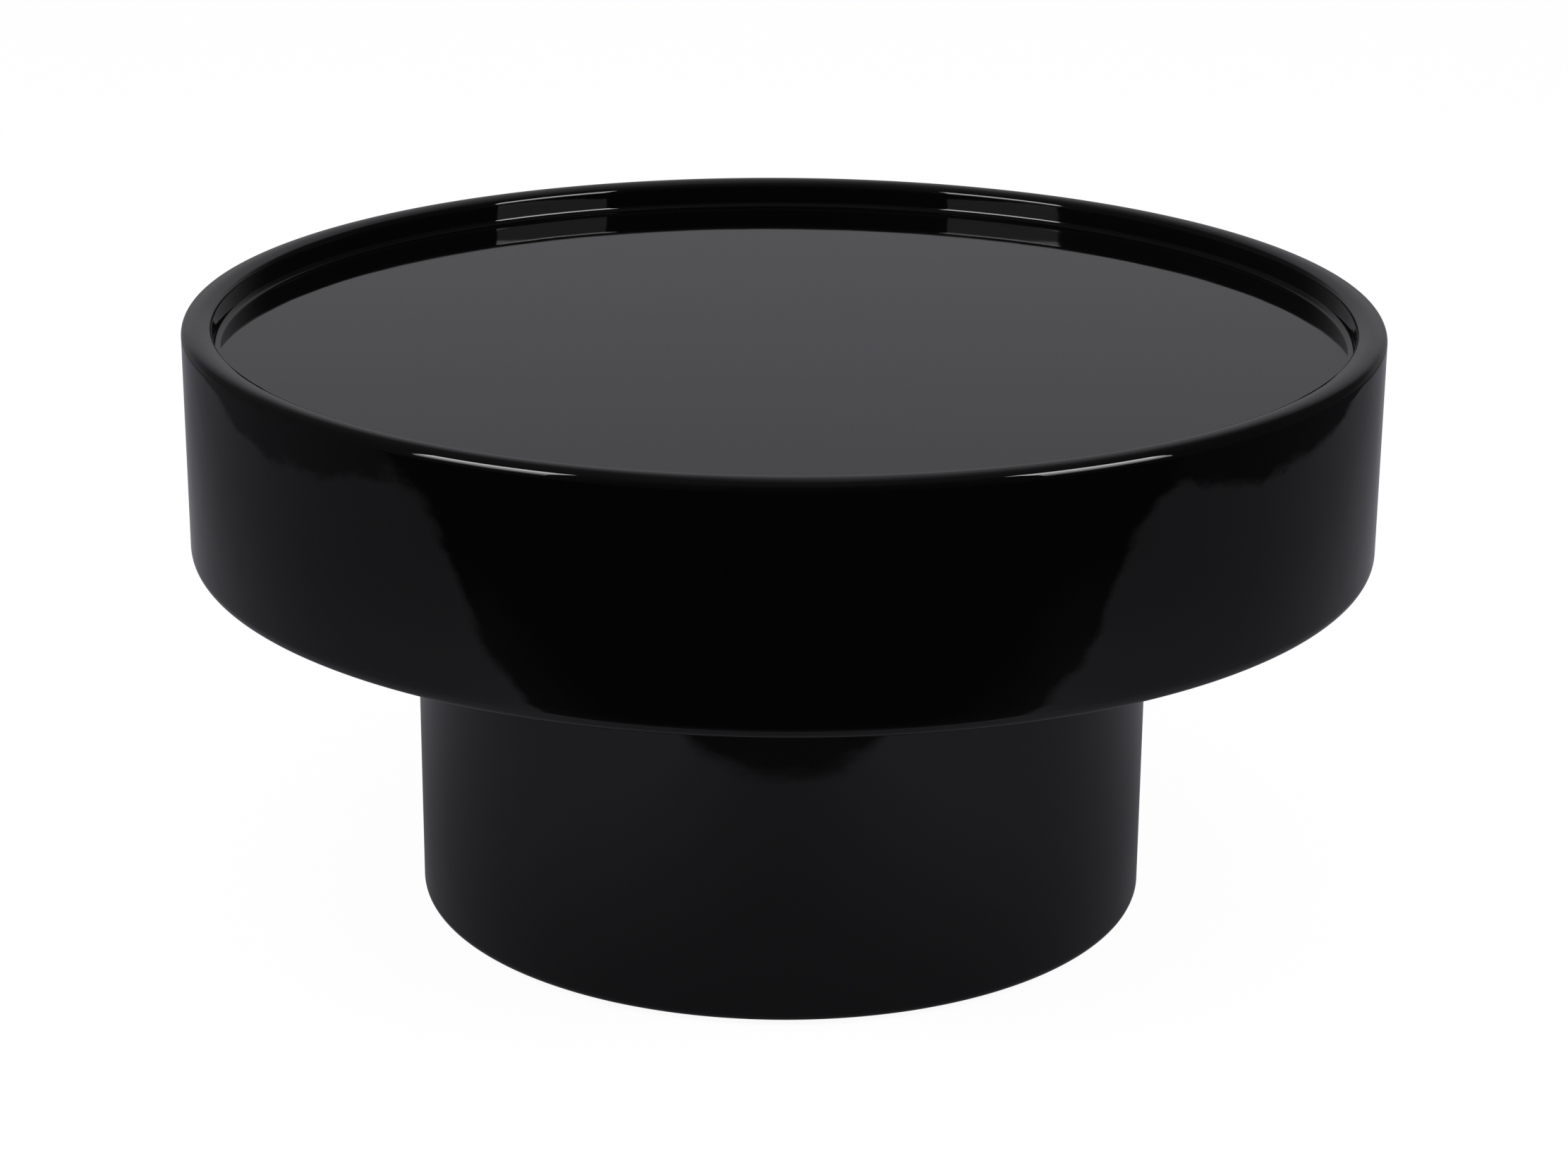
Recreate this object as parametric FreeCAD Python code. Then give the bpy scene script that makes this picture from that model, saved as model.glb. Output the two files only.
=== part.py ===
"""Round cocktail table: a lacquered drum with a sunk tray on top, bolted to a smaller drum base.

Both drums are bent-laminated hoops closed by flat panels. The upper one is stiffened by a grid of
lapped ribs, and the lower one by four posts between a top panel and a foot ring. The foot ring
carries four levelling glides, each a swivel pad on a screwed stem.
Millimetres, +Z up, -Y to the front, with the origin on the floor under the middle of the table.
"""

import FreeCAD
import Part
import math
import os

# Overall sizes
TOP_DIAMETER = 800.0
DRUM_HEIGHT = 158.5
BASE_DIAMETER = 500.0
BASE_HEIGHT = 252.0
FLOOR_GAP = 3.0  # the base edge stands this far off the floor

# Drum hoop, tray and underside
HOOP_WALL = 20.0
RIM_SLOPE = 22.0  # degrees, of the rim's top on each side of its ridge
RIM_CROWN_ROUND = 16.0
RIM_OUTER_ROUND = 6.0
RIM_INNER_ROUND = 4.0
DRUM_LOWER_ROUND = 8.0
TRAY_DEPTH = 20.0
TRAY_THICKNESS = 18.0
COVE_RADIUS = 5.5
COVE_EDGE = 0.4  # thickness of the cove bead where it runs out on the wall
COVE_SEAT = 6.0  # depth of the rebate in the tray panel that takes the bead
LEDGE_WIDTH = 30.0
LEDGE_HEIGHT = 24.0
UNDERSIDE_THICKNESS = 12.0
UNDERSIDE_SEAT = 6.0  # depth of the rebate in the hoop that takes the underside panel

# Rib grid and mounting plate
RIB_THICKNESS = 15.0
LAP_CLEARANCE = 0.1  # each side of a rib in the slot of the rib that it crosses
PLATE_THICKNESS = 24.0
PLATE_CLEARANCE = 0.5  # between the plate and the ribs around it
BOLT_EDGE = 22.0  # from a bolt's axis to the edge of the mounting plate

# Base hoop, panel, ring and posts
BASE_WALL = 18.0
BASE_LOWER_ROUND = 7.0
BASE_INNER_ROUND = 2.0
BASE_TOP_THICKNESS = 18.0
FOOT_RING_THICKNESS = 24.0
FOOT_RING_WIDTH = 72.0
POST_WIDTH = 80.0
POST_DEPTH = 38.0
POST_CHAMFER = 5.0

# Bolts that hold the drum on the base
BOLT_SPACING = 200.0
BOLT_DIAMETER = 8.0
BOLT_HOLE_CLEARANCE = 0.5  # radial
BOLT_HEAD_DIAMETER = 13.0
BOLT_HEAD_HEIGHT = 8.0
BOLT_SOCKET_FLATS = 6.0
BOLT_SOCKET_DEPTH = 4.0
BOLT_END_SETBACK = 1.0  # from the bolt's end up to the top of the mounting plate
WASHER_DIAMETER = 24.0
WASHER_THICKNESS = 2.0

# Tee nuts, in the mounting plate and in the foot ring
TEE_NUT_WALL = 1.5
TEE_NUT_FLANGE_DIAMETER = 22.0
TEE_NUT_FLANGE = 1.5
TEE_NUT_SETBACK = 6.0  # from the barrel's end to the far face of what it is driven into
THREAD_CLEARANCE = 0.05  # radial, in place of the thread's play

# Countersunk wood screws
SCREW_DIAMETER = 4.0
SCREW_HEAD_DIAMETER = 8.0
SCREW_HEAD_HEIGHT = 3.0
SCREW_LENGTH = 40.0
SCREW_POINT = 4.0
POST_SCREW_SPACING = 40.0

# Levelling glides
GLIDE_TRAVEL = 8.0
STEM_DIAMETER = 8.0
STEM_CHAMFER = 0.8
HEX_FLATS = 13.0
HEX_HEIGHT = 5.0
HEX_LIFT = 1.0  # from the pad's top to the hexagon
HEX_REST_GAP = 0.3  # from the hexagon to the tee nut when screwed right in
PAD_DIAMETER = 32.0
PAD_EDGE = 4.0  # height of the pad's straight edge
PAD_EDGE_CHAMFER = 1.0
PAD_NECK_DIAMETER = 17.0
PAD_HEIGHT = 9.0
BALL_DIAMETER = 9.0
BALL_CLEARANCE = 0.05  # radial, in the pad's socket
BALL_FLOOR = 1.0  # pad left under the ball
BALL_MOUTH_CLEARANCE = 0.4  # radial, round the neck in the pad's mouth
STEM_NECK_DIAMETER = 5.0

# Places that follow from the sizes above
DRUM_BOTTOM = FLOOR_GAP + BASE_HEIGHT
RIM_TOP = DRUM_BOTTOM + DRUM_HEIGHT
RIM_TILT = math.radians(RIM_SLOPE)
RIM_FACE = HOOP_WALL / 2 / math.cos(RIM_TILT)  # length of each slope
RIM_EDGE_REACH = max(RIM_OUTER_ROUND, RIM_INNER_ROUND) / math.tan((math.pi / 2 + RIM_TILT) / 2)
RIM_CROWN = min(RIM_CROWN_ROUND, (RIM_FACE - RIM_EDGE_REACH) / math.tan(RIM_TILT))  # fits the slopes
RIM_RIDGE = RIM_TOP + RIM_CROWN * (1 / math.cos(RIM_TILT) - 1)
RIM_EDGE = RIM_RIDGE - HOOP_WALL / 2 * math.tan(RIM_TILT)
TRAY_FLOOR = RIM_TOP - TRAY_DEPTH
TRAY_BOTTOM = TRAY_FLOOR - TRAY_THICKNESS
UNDERSIDE_TOP = DRUM_BOTTOM + UNDERSIDE_THICKNESS
PLATE_TOP = UNDERSIDE_TOP + PLATE_THICKNESS
DRUM_RADIUS = TOP_DIAMETER / 2
TRAY_RADIUS = DRUM_RADIUS - HOOP_WALL
TRAY_FLAT_RADIUS = TRAY_RADIUS - COVE_EDGE - COVE_RADIUS
PLATE_SIDE = BOLT_SPACING + 2 * BOLT_EDGE
RIB_SPACING = PLATE_SIDE + 2 * PLATE_CLEARANCE + RIB_THICKNESS
RIB_HEIGHT = TRAY_BOTTOM - UNDERSIDE_TOP
BASE_RADIUS = BASE_DIAMETER / 2
BASE_BORE_RADIUS = BASE_RADIUS - BASE_WALL
BASE_PANEL_BOTTOM = DRUM_BOTTOM - BASE_TOP_THICKNESS
HEX_BOTTOM = PAD_HEIGHT + HEX_LIFT
HEX_TOP = HEX_BOTTOM + HEX_HEIGHT
FOOT_RING_BOTTOM = HEX_TOP + HEX_REST_GAP + TEE_NUT_FLANGE
FOOT_RING_TOP = FOOT_RING_BOTTOM + FOOT_RING_THICKNESS
PLATE_BARREL = PLATE_THICKNESS - TEE_NUT_SETBACK
FOOT_RING_BARREL = FOOT_RING_THICKNESS - TEE_NUT_SETBACK
BALL_CENTRE = BALL_FLOOR + BALL_DIAMETER / 2
GLIDE_CIRCLE_RADIUS = BASE_BORE_RADIUS - FOOT_RING_WIDTH / 2
POST_CENTRE_RADIUS = BASE_BORE_RADIUS - POST_DEPTH / 2

UP = FreeCAD.Vector(0, 0, 1)
ORIGIN = FreeCAD.Vector(0, 0, 0)
SAME_POINT = 1e-6
SIDE_ANGLES = {"right": 0.0, "back": 90.0, "left": 180.0, "front": 270.0}
CORNER_ANGLES = {"back_right": 45.0, "back_left": 135.0, "front_left": 225.0, "front_right": 315.0}


def at(x, y, z):
    return FreeCAD.Vector(x, y, z)


def polar(radius, degrees, z=0.0):
    """Point at a radius and an angle about the table's axis, with 0 degrees along +X."""
    angle = math.radians(degrees)
    return at(radius * math.cos(angle), radius * math.sin(angle), z)


def rounded_outline(corners):
    """Closed wire in the XZ plane through (r, z, round) corners, each round a tangent arc."""
    spans = []
    for i, (r, z, radius) in enumerate(corners):
        corner = at(r, 0, z)
        before = corners[i - 1]
        after = corners[(i + 1) % len(corners)]
        back = (at(before[0], 0, before[1]) - corner).normalize()
        ahead = (at(after[0], 0, after[1]) - corner).normalize()
        if radius == 0:
            spans.append((corner, None, corner))
            continue
        half = back.getAngle(ahead) / 2
        reach = radius / math.tan(half)
        bisector = (back + ahead).normalize()
        middle = corner + bisector * (radius / math.sin(half) - radius)
        spans.append((corner + back * reach, middle, corner + ahead * reach))
    edges = []
    for i, (start, middle, end) in enumerate(spans):
        if middle is not None:
            edges.append(Part.Arc(start, middle, end).toShape())
        following = spans[(i + 1) % len(spans)][0]
        if end.distanceToPoint(following) > SAME_POINT:
            edges.append(Part.LineSegment(end, following).toShape())
    return Part.Wire(edges)


def turned(wire):
    """Solid of revolution of a closed outline about the table's axis."""
    return Part.Face(wire).revolve(ORIGIN, UP, 360)


def disc(radius, bottom, thickness):
    return Part.makeCylinder(radius, thickness, at(0, 0, bottom))


def ring(outer, inner, bottom, thickness):
    return disc(outer, bottom, thickness).cut(disc(inner, bottom, thickness))


def drill(shape, points, radius, bottom, depth):
    """Shape with an upright round hole at each point, from bottom up over depth."""
    holes = [Part.makeCylinder(radius, depth, at(p.x, p.y, bottom)) for p in points]
    return shape.cut(Part.makeCompound(holes))


def hexagon(flats, bottom, height):
    """Upright hexagonal prism on the axis, of a size across its flats."""
    corner_radius = flats / math.sqrt(3)
    corners = [polar(corner_radius, 60 * i, bottom) for i in range(7)]
    return Part.Face(Part.makePolygon(corners)).extrude(UP * height)


def placed(shape, point):
    copy = shape.copy()
    copy.translate(point)
    return copy


def upside_down(shape):
    """Shape turned half a turn about X, so that what points up points down."""
    copy = shape.copy()
    copy.rotate(ORIGIN, at(1, 0, 0), 180)
    return copy


def bolt_points():
    half = BOLT_SPACING / 2
    return [at(x, y, 0) for x in (-half, half) for y in (-half, half)]


def underside_screw_points():
    """Two points on each rib, halfway between the base and the inside of the drum's hoop."""
    radius = (BASE_RADIUS + TRAY_RADIUS) / 2
    across = RIB_SPACING / 2
    along = math.sqrt(radius**2 - across**2)
    points = []
    for x in (-1, 1):
        for y in (-1, 1):
            points.append(at(x * along, y * across, 0))
            points.append(at(x * across, y * along, 0))
    return points


def post_screw_points():
    """Two points in the section of each post, side by side."""
    points = []
    for degrees in SIDE_ANGLES.values():
        centre = polar(POST_CENTRE_RADIUS, degrees)
        sideways = polar(POST_SCREW_SPACING / 2, degrees + 90)
        points += [centre - sideways, centre + sideways]
    return points


def glide_points():
    return {name: polar(GLIDE_CIRCLE_RADIUS, degrees) for name, degrees in CORNER_ANGLES.items()}


def wood_screw():
    """Countersunk screw pointing up, with the face of its head at height 0."""
    head = SCREW_HEAD_DIAMETER / 2
    shank = SCREW_DIAMETER / 2
    return turned(rounded_outline([
        (0, 0, 0),
        (head, 0, 0),
        (shank, SCREW_HEAD_HEIGHT, 0),
        (shank, SCREW_LENGTH - SCREW_POINT, 0),
        (0, SCREW_LENGTH, 0),
    ]))


def barrel_radius(thread_diameter):
    """Outer radius of a tee nut's barrel, which is also its hole's."""
    return thread_diameter / 2 + THREAD_CLEARANCE + TEE_NUT_WALL


def tee_nut(thread_diameter, barrel_length):
    """Tee nut with its flange's seat at height 0, its flange below and its barrel above."""
    bore = thread_diameter / 2 + THREAD_CLEARANCE
    barrel = barrel_radius(thread_diameter)
    flange = TEE_NUT_FLANGE_DIAMETER / 2
    return turned(rounded_outline([
        (bore, -TEE_NUT_FLANGE, 0),
        (flange, -TEE_NUT_FLANGE, 0),
        (flange, 0, 0),
        (barrel, 0, 0),
        (barrel, barrel_length, 0),
        (bore, barrel_length, 0),
    ]))


def drum_hoop():
    seat_radius = TRAY_RADIUS + UNDERSIDE_SEAT
    return turned(rounded_outline([
        (DRUM_RADIUS, DRUM_BOTTOM, DRUM_LOWER_ROUND),
        (DRUM_RADIUS, RIM_EDGE, RIM_OUTER_ROUND),
        (DRUM_RADIUS - HOOP_WALL / 2, RIM_RIDGE, RIM_CROWN),
        (TRAY_RADIUS, RIM_EDGE, RIM_INNER_ROUND),
        (TRAY_RADIUS, UNDERSIDE_TOP, 0),
        (seat_radius, UNDERSIDE_TOP, 0),
        (seat_radius, DRUM_BOTTOM, 0),
    ]))


def tray_panel():
    """Floor of the tray, with a rebate round its edge for the cove bead."""
    seat = TRAY_FLOOR - COVE_SEAT
    return turned(rounded_outline([
        (0, TRAY_BOTTOM, 0),
        (TRAY_RADIUS, TRAY_BOTTOM, 0),
        (TRAY_RADIUS, seat, 0),
        (TRAY_FLAT_RADIUS, seat, 0),
        (TRAY_FLAT_RADIUS, TRAY_FLOOR, 0),
        (0, TRAY_FLOOR, 0),
    ]))


def tray_cove():
    """Concave bead in the corner between the tray's floor and the rim's wall."""
    seat = TRAY_FLOOR - COVE_SEAT
    wall = TRAY_RADIUS - COVE_EDGE
    return turned(rounded_outline([
        (TRAY_RADIUS, seat, 0),
        (TRAY_RADIUS, TRAY_FLOOR + COVE_RADIUS, 0),
        (wall, TRAY_FLOOR + COVE_RADIUS, 0),
        (wall, TRAY_FLOOR, COVE_RADIUS),
        (TRAY_FLAT_RADIUS, TRAY_FLOOR, 0),
        (TRAY_FLAT_RADIUS, seat, 0),
    ]))


def tray_ledge():
    """Ring inside the hoop that carries the edge of the tray panel."""
    return ring(TRAY_RADIUS, TRAY_RADIUS - LEDGE_WIDTH, TRAY_BOTTOM - LEDGE_HEIGHT, LEDGE_HEIGHT)


def rib(slots_on_top):
    """Rib along X through the axis, with a slot of half its height for each rib that it crosses."""
    blank = Part.makeBox(
        2 * TRAY_RADIUS, RIB_THICKNESS, RIB_HEIGHT, at(-TRAY_RADIUS, -RIB_THICKNESS / 2, UNDERSIDE_TOP)
    )
    slot_width = RIB_THICKNESS + 2 * LAP_CLEARANCE
    slot_bottom = UNDERSIDE_TOP + (RIB_HEIGHT / 2 if slots_on_top else 0)
    for side in (-1, 1):
        corner = at(side * RIB_SPACING / 2 - slot_width / 2, -RIB_THICKNESS / 2, slot_bottom)
        blank = blank.cut(Part.makeBox(slot_width, RIB_THICKNESS, RIB_HEIGHT / 2, corner))
    return blank


def fitted_rib(degrees, side, slots_on_top):
    """Rib in its place in the grid, with its ends cut to the hoop and notched under the ledge."""
    piece = rib(slots_on_top)
    piece.translate(at(0, side * RIB_SPACING / 2, 0))
    piece.rotate(ORIGIN, UP, degrees)
    piece = piece.common(disc(TRAY_RADIUS, UNDERSIDE_TOP, RIB_HEIGHT))
    return piece.cut(tray_ledge()).cut(screws(underside_screw_points(), DRUM_BOTTOM))


def mounting_plate():
    """Square plate in the middle cell of the rib grid, with a hole for each tee nut."""
    plate = Part.makeBox(
        PLATE_SIDE, PLATE_SIDE, PLATE_THICKNESS, at(-PLATE_SIDE / 2, -PLATE_SIDE / 2, UNDERSIDE_TOP)
    )
    return drill(plate, bolt_points(), barrel_radius(BOLT_DIAMETER), UNDERSIDE_TOP, PLATE_THICKNESS)


def mounting_tee_nuts():
    nut = upside_down(tee_nut(BOLT_DIAMETER, PLATE_BARREL))
    return Part.makeCompound([placed(nut, at(p.x, p.y, PLATE_TOP)) for p in bolt_points()])


def screws(points, face):
    """Group of wood screws driven up from a face at a height."""
    return Part.makeCompound([placed(wood_screw(), at(p.x, p.y, face)) for p in points])


def screws_down(points, face):
    """Group of wood screws driven down from a face at a height."""
    screw = upside_down(wood_screw())
    return Part.makeCompound([placed(screw, at(p.x, p.y, face)) for p in points])


def bolt_drilled(panel, bottom, thickness):
    """Panel with a clearance hole for each bolt."""
    return drill(panel, bolt_points(), BOLT_DIAMETER / 2 + BOLT_HOLE_CLEARANCE, bottom, thickness)


def underside_panel():
    panel = disc(TRAY_RADIUS + UNDERSIDE_SEAT, DRUM_BOTTOM, UNDERSIDE_THICKNESS)
    panel = bolt_drilled(panel, DRUM_BOTTOM, UNDERSIDE_THICKNESS)
    return panel.cut(screws(underside_screw_points(), DRUM_BOTTOM))


def base_hoop():
    return turned(rounded_outline([
        (BASE_RADIUS, FLOOR_GAP, BASE_LOWER_ROUND),
        (BASE_RADIUS, DRUM_BOTTOM, 0),
        (BASE_BORE_RADIUS, DRUM_BOTTOM, 0),
        (BASE_BORE_RADIUS, FLOOR_GAP, BASE_INNER_ROUND),
    ]))


def base_top_panel():
    panel = disc(BASE_BORE_RADIUS, BASE_PANEL_BOTTOM, BASE_TOP_THICKNESS)
    panel = bolt_drilled(panel, BASE_PANEL_BOTTOM, BASE_TOP_THICKNESS)
    return panel.cut(screws_down(post_screw_points(), DRUM_BOTTOM))


def base_foot_ring():
    bore = BASE_BORE_RADIUS - FOOT_RING_WIDTH
    piece = ring(BASE_BORE_RADIUS, bore, FOOT_RING_BOTTOM, FOOT_RING_THICKNESS)
    nut_hole = barrel_radius(STEM_DIAMETER)
    piece = drill(piece, glide_points().values(), nut_hole, FOOT_RING_BOTTOM, FOOT_RING_THICKNESS)
    return piece.cut(screws(post_screw_points(), FOOT_RING_BOTTOM))


def base_post(degrees):
    """Upright batten with its back rounded to the hoop and its front edges chamfered."""
    front = BASE_BORE_RADIUS - POST_DEPTH
    half = POST_WIDTH / 2
    section = Part.makePolygon([
        at(front, -half + POST_CHAMFER, FOOT_RING_TOP),
        at(front + POST_CHAMFER, -half, FOOT_RING_TOP),
        at(BASE_BORE_RADIUS, -half, FOOT_RING_TOP),
        at(BASE_BORE_RADIUS, half, FOOT_RING_TOP),
        at(front + POST_CHAMFER, half, FOOT_RING_TOP),
        at(front, half - POST_CHAMFER, FOOT_RING_TOP),
        at(front, -half + POST_CHAMFER, FOOT_RING_TOP),
    ])
    height = BASE_PANEL_BOTTOM - FOOT_RING_TOP
    piece = Part.Face(section).extrude(UP * height)
    piece.rotate(ORIGIN, UP, degrees)
    piece = piece.common(disc(BASE_BORE_RADIUS, FOOT_RING_TOP, height))
    piece = piece.cut(screws(post_screw_points(), FOOT_RING_BOTTOM))
    return piece.cut(screws_down(post_screw_points(), DRUM_BOTTOM))


def base_bolts():
    """Socket-head bolts, driven up through the base panel into the tee nuts."""
    seat = BASE_PANEL_BOTTOM - WASHER_THICKNESS
    head_bottom = seat - BOLT_HEAD_HEIGHT
    head = disc(BOLT_HEAD_DIAMETER / 2, head_bottom, BOLT_HEAD_HEIGHT)
    shank = disc(BOLT_DIAMETER / 2, seat, PLATE_TOP - BOLT_END_SETBACK - seat)
    bolt = head.fuse(shank).removeSplitter()
    bolt = bolt.cut(hexagon(BOLT_SOCKET_FLATS, head_bottom, BOLT_SOCKET_DEPTH))
    return Part.makeCompound([placed(bolt, p) for p in bolt_points()])


def base_washers():
    bore = BOLT_DIAMETER / 2 + BOLT_HOLE_CLEARANCE
    washer = ring(WASHER_DIAMETER / 2, bore, BASE_PANEL_BOTTOM - WASHER_THICKNESS, WASHER_THICKNESS)
    return Part.makeCompound([placed(washer, p) for p in bolt_points()])


def glide_tee_nuts():
    nut = tee_nut(STEM_DIAMETER, FOOT_RING_BARREL)
    return Part.makeCompound([placed(nut, at(p.x, p.y, FOOT_RING_BOTTOM)) for p in glide_points().values()])


def glide_pad():
    """Foot pad with a socket round the stem's ball, standing on the floor."""
    edge = PAD_DIAMETER / 2
    socket = Part.makeSphere(BALL_DIAMETER / 2 + BALL_CLEARANCE, at(0, 0, BALL_CENTRE))
    mouth = disc(STEM_NECK_DIAMETER / 2 + BALL_MOUTH_CLEARANCE, BALL_CENTRE, PAD_HEIGHT - BALL_CENTRE)
    pad = turned(rounded_outline([
        (0, 0, 0),
        (edge - PAD_EDGE_CHAMFER, 0, 0),
        (edge, PAD_EDGE_CHAMFER, 0),
        (edge, PAD_EDGE, 0),
        (PAD_NECK_DIAMETER / 2, PAD_HEIGHT, 0),
        (0, PAD_HEIGHT, 0),
    ]))
    return pad.cut(socket.fuse(mouth))


def glide_stem():
    """Threaded stem with a spanner hexagon and a ball end."""
    end = FOOT_RING_BOTTOM + FOOT_RING_BARREL + GLIDE_TRAVEL
    radius = STEM_DIAMETER / 2
    thread = turned(rounded_outline([
        (0, HEX_TOP, 0),
        (radius, HEX_TOP, 0),
        (radius, end - STEM_CHAMFER, 0),
        (radius - STEM_CHAMFER, end, 0),
        (0, end, 0),
    ]))
    ball = Part.makeSphere(BALL_DIAMETER / 2, at(0, 0, BALL_CENTRE))
    neck = disc(STEM_NECK_DIAMETER / 2, BALL_CENTRE, HEX_BOTTOM - BALL_CENTRE)
    nut = hexagon(HEX_FLATS, HEX_BOTTOM, HEX_HEIGHT)
    return ball.fuse([neck, nut, thread]).removeSplitter()


def build():
    """Every piece of the table, by name."""
    nodes = {
        "drum_hoop": drum_hoop(),
        "tray_panel": tray_panel(),
        "tray_cove": tray_cove(),
        "tray_ledge": tray_ledge(),
        "rib_front": fitted_rib(0, -1, True),
        "rib_back": fitted_rib(0, 1, True),
        "rib_left": fitted_rib(90, 1, False),
        "rib_right": fitted_rib(90, -1, False),
        "mounting_plate": mounting_plate(),
        "mounting_tee_nuts": mounting_tee_nuts(),
        "underside_panel": underside_panel(),
        "underside_screws": screws(underside_screw_points(), DRUM_BOTTOM),
        "base_hoop": base_hoop(),
        "base_top_panel": base_top_panel(),
        "base_foot_ring": base_foot_ring(),
        "post_top_screws": screws_down(post_screw_points(), DRUM_BOTTOM),
        "post_foot_screws": screws(post_screw_points(), FOOT_RING_BOTTOM),
        "base_bolts": base_bolts(),
        "base_washers": base_washers(),
        "glide_tee_nuts": glide_tee_nuts(),
    }
    for side, degrees in SIDE_ANGLES.items():
        nodes["base_post_" + side] = base_post(degrees)
    for corner, point in glide_points().items():
        nodes["glide_pad_" + corner] = placed(glide_pad(), point)
        nodes["glide_stem_" + corner] = placed(glide_stem(), point)
    return nodes


def main():
    os.makedirs("parts", exist_ok=True)
    for name, shape in build().items():
        shape.exportStep("parts/" + name + ".step")


if __name__ == "__main__":
    main()
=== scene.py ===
"""Gloss black drum cocktail table: lacquered skins, finishes of the fittings, studio and camera.

Metres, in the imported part's frame: +Z up, -Y towards the camera, the floor at z = 0.
"""
import math

import bpy
import numpy as np
from mathutils import Matrix, Vector


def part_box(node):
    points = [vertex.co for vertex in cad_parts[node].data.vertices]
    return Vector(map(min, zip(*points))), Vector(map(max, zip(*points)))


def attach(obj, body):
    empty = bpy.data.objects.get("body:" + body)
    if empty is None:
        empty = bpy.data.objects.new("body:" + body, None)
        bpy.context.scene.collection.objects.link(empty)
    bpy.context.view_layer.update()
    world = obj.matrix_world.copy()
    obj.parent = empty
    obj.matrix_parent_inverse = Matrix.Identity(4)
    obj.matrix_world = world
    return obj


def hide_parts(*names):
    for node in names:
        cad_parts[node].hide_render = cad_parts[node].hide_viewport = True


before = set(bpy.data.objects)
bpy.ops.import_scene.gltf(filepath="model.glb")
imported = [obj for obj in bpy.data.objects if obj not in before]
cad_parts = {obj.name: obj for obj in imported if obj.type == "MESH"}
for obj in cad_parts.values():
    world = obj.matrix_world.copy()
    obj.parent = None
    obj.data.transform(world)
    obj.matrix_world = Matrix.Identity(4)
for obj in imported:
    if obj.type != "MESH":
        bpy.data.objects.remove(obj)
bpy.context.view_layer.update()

# Camera, fitted to the table's outline in an image of this width in pixels
IMAGE_WIDTH = 2223
CAMERA_FOCUS_PIXELS = 5218.8
CAMERA_PLACE = Vector((0.0, -2.3954, 1.0317))
CAMERA_PITCH = 0.3278
CAMERA_YAW = 0.0004
CAMERA_ROLL = 0.0068
CAMERA_SENSOR_MM = 36.0
CAMERA_CLIP = 200.0

# Rounds and seats of the lacquered pieces
RIM_SLOPE = math.radians(22.0)  # of the rim's top on each side of its ridge
RIM_CROWN_ROUND = 0.016
RIM_OUTER_ROUND = 0.006
RIM_INNER_ROUND = 0.004
DRUM_LOWER_ROUND = 0.008
BASE_LOWER_ROUND = 0.007
BASE_INNER_ROUND = 0.002
COVE_RADIUS = 0.0055
COVE_SINK = 0.0003  # the film of the tray runs this far into the rim's wall
DRUM_WALL = 0.020
BASE_WALL = 0.018

# Fineness of the turned surfaces
DRUM_STEPS = 720
TRAY_STEPS = 480
TRAY_RINGS = 24
BASE_STEPS = 560
ROUND_STEPS = 14
WALL_SPACING = 0.004
CREASE_ANGLE = math.radians(40)

# Waves of the bent and hand-rubbed hoops
HOOP_WAVE_DEPTH = 0.00010
HOOP_WAVES = (  # waves in a turn, radians in a metre of height, phase
    (5, 9.0, 0.3), (9, -14.0, 1.9), (16, 21.0, 4.1), (23, -33.0, 0.8), (31, 27.0, 2.6))

# Tones and roughnesses that a finish varies between
LACQUER_TONES = ((0.0010, 0.0009, 0.0010), (0.0018, 0.0017, 0.0018))
PAINT_TONES = ((0.010, 0.010, 0.010), (0.020, 0.019, 0.019))
PLY_FACE_TONES = ((0.60, 0.44, 0.27), (0.47, 0.32, 0.18))
PLY_EDGE_TONES = ((0.52, 0.37, 0.22), (0.30, 0.19, 0.10))
PLY_ROUGHNESS = (0.55, 0.72)
POPLAR_TONES = ((0.58, 0.45, 0.27), (0.42, 0.33, 0.17))
POPLAR_ROUGHNESS = (0.50, 0.66)
YELLOW_ZINC_TONES = ((0.40, 0.31, 0.13), (0.66, 0.55, 0.30))
BRIGHT_ZINC_TONES = ((0.50, 0.51, 0.53), (0.72, 0.73, 0.74))
ZINC_ROUGHNESS = (0.24, 0.42)
NYLON_TONES = ((0.012, 0.012, 0.012), (0.022, 0.022, 0.022))
NYLON_ROUGHNESS = (0.42, 0.60)

# Relief of the finishes, and the spans of their noise that become a mask
HOOP_FILM_WAVE = 0.00020
TRAY_FILM_WAVE = 0.00004
HAZE_SPAN = (0.35, 0.75)
MASK_SPAN = (0.3, 0.7)
PORE_FINENESS = 9.0  # times as fine as the streaks of the grain
PORE_DEPTH = 0.00012
PLY_STRETCH = (4.0, 30.0, 30.0)
PLY_PAIR = 0.003  # thickness of two plies
PLY_BLUR = (-0.3, 0.3)
PLY_FACING = (0.6, 0.8)  # of a normal, from the plies' edges to their faces
POPLAR_STRETCH = (40.0, 40.0, 4.0)

# Floor, as the camera sees it
FLOOR_REACH = 30.0
FLOOR_WHITE = 0.935
FLOOR_SHADE = 0.10

# Outline of the paper sweep that the lacquer mirrors, with spans (from, to) along the floor
SWEEP_HALF_WIDTH = 1.52
SWEEP_TAPER = 0.16  # less half width at the back
SWEEP_TAPER_SPAN = (0.0, 1.1)
SWEEP_FRONT = -0.80
SWEEP_SKEW = 0.015
SWEEP_NOTCH = 0.15  # in the middle of the front edge
SWEEP_NOTCH_SPAN = (0.28, 0.74)
SWEEP_BELLY = 0.03  # by which the front edge is fuller beside the notch
SWEEP_BELLY_SPAN = (0.72, 0.92)
SWEEP_CORNER = 0.65
SWEEP_EDGE = 0.02
SWEEP_BEND_SPAN = (1.7, 3.2)

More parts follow.
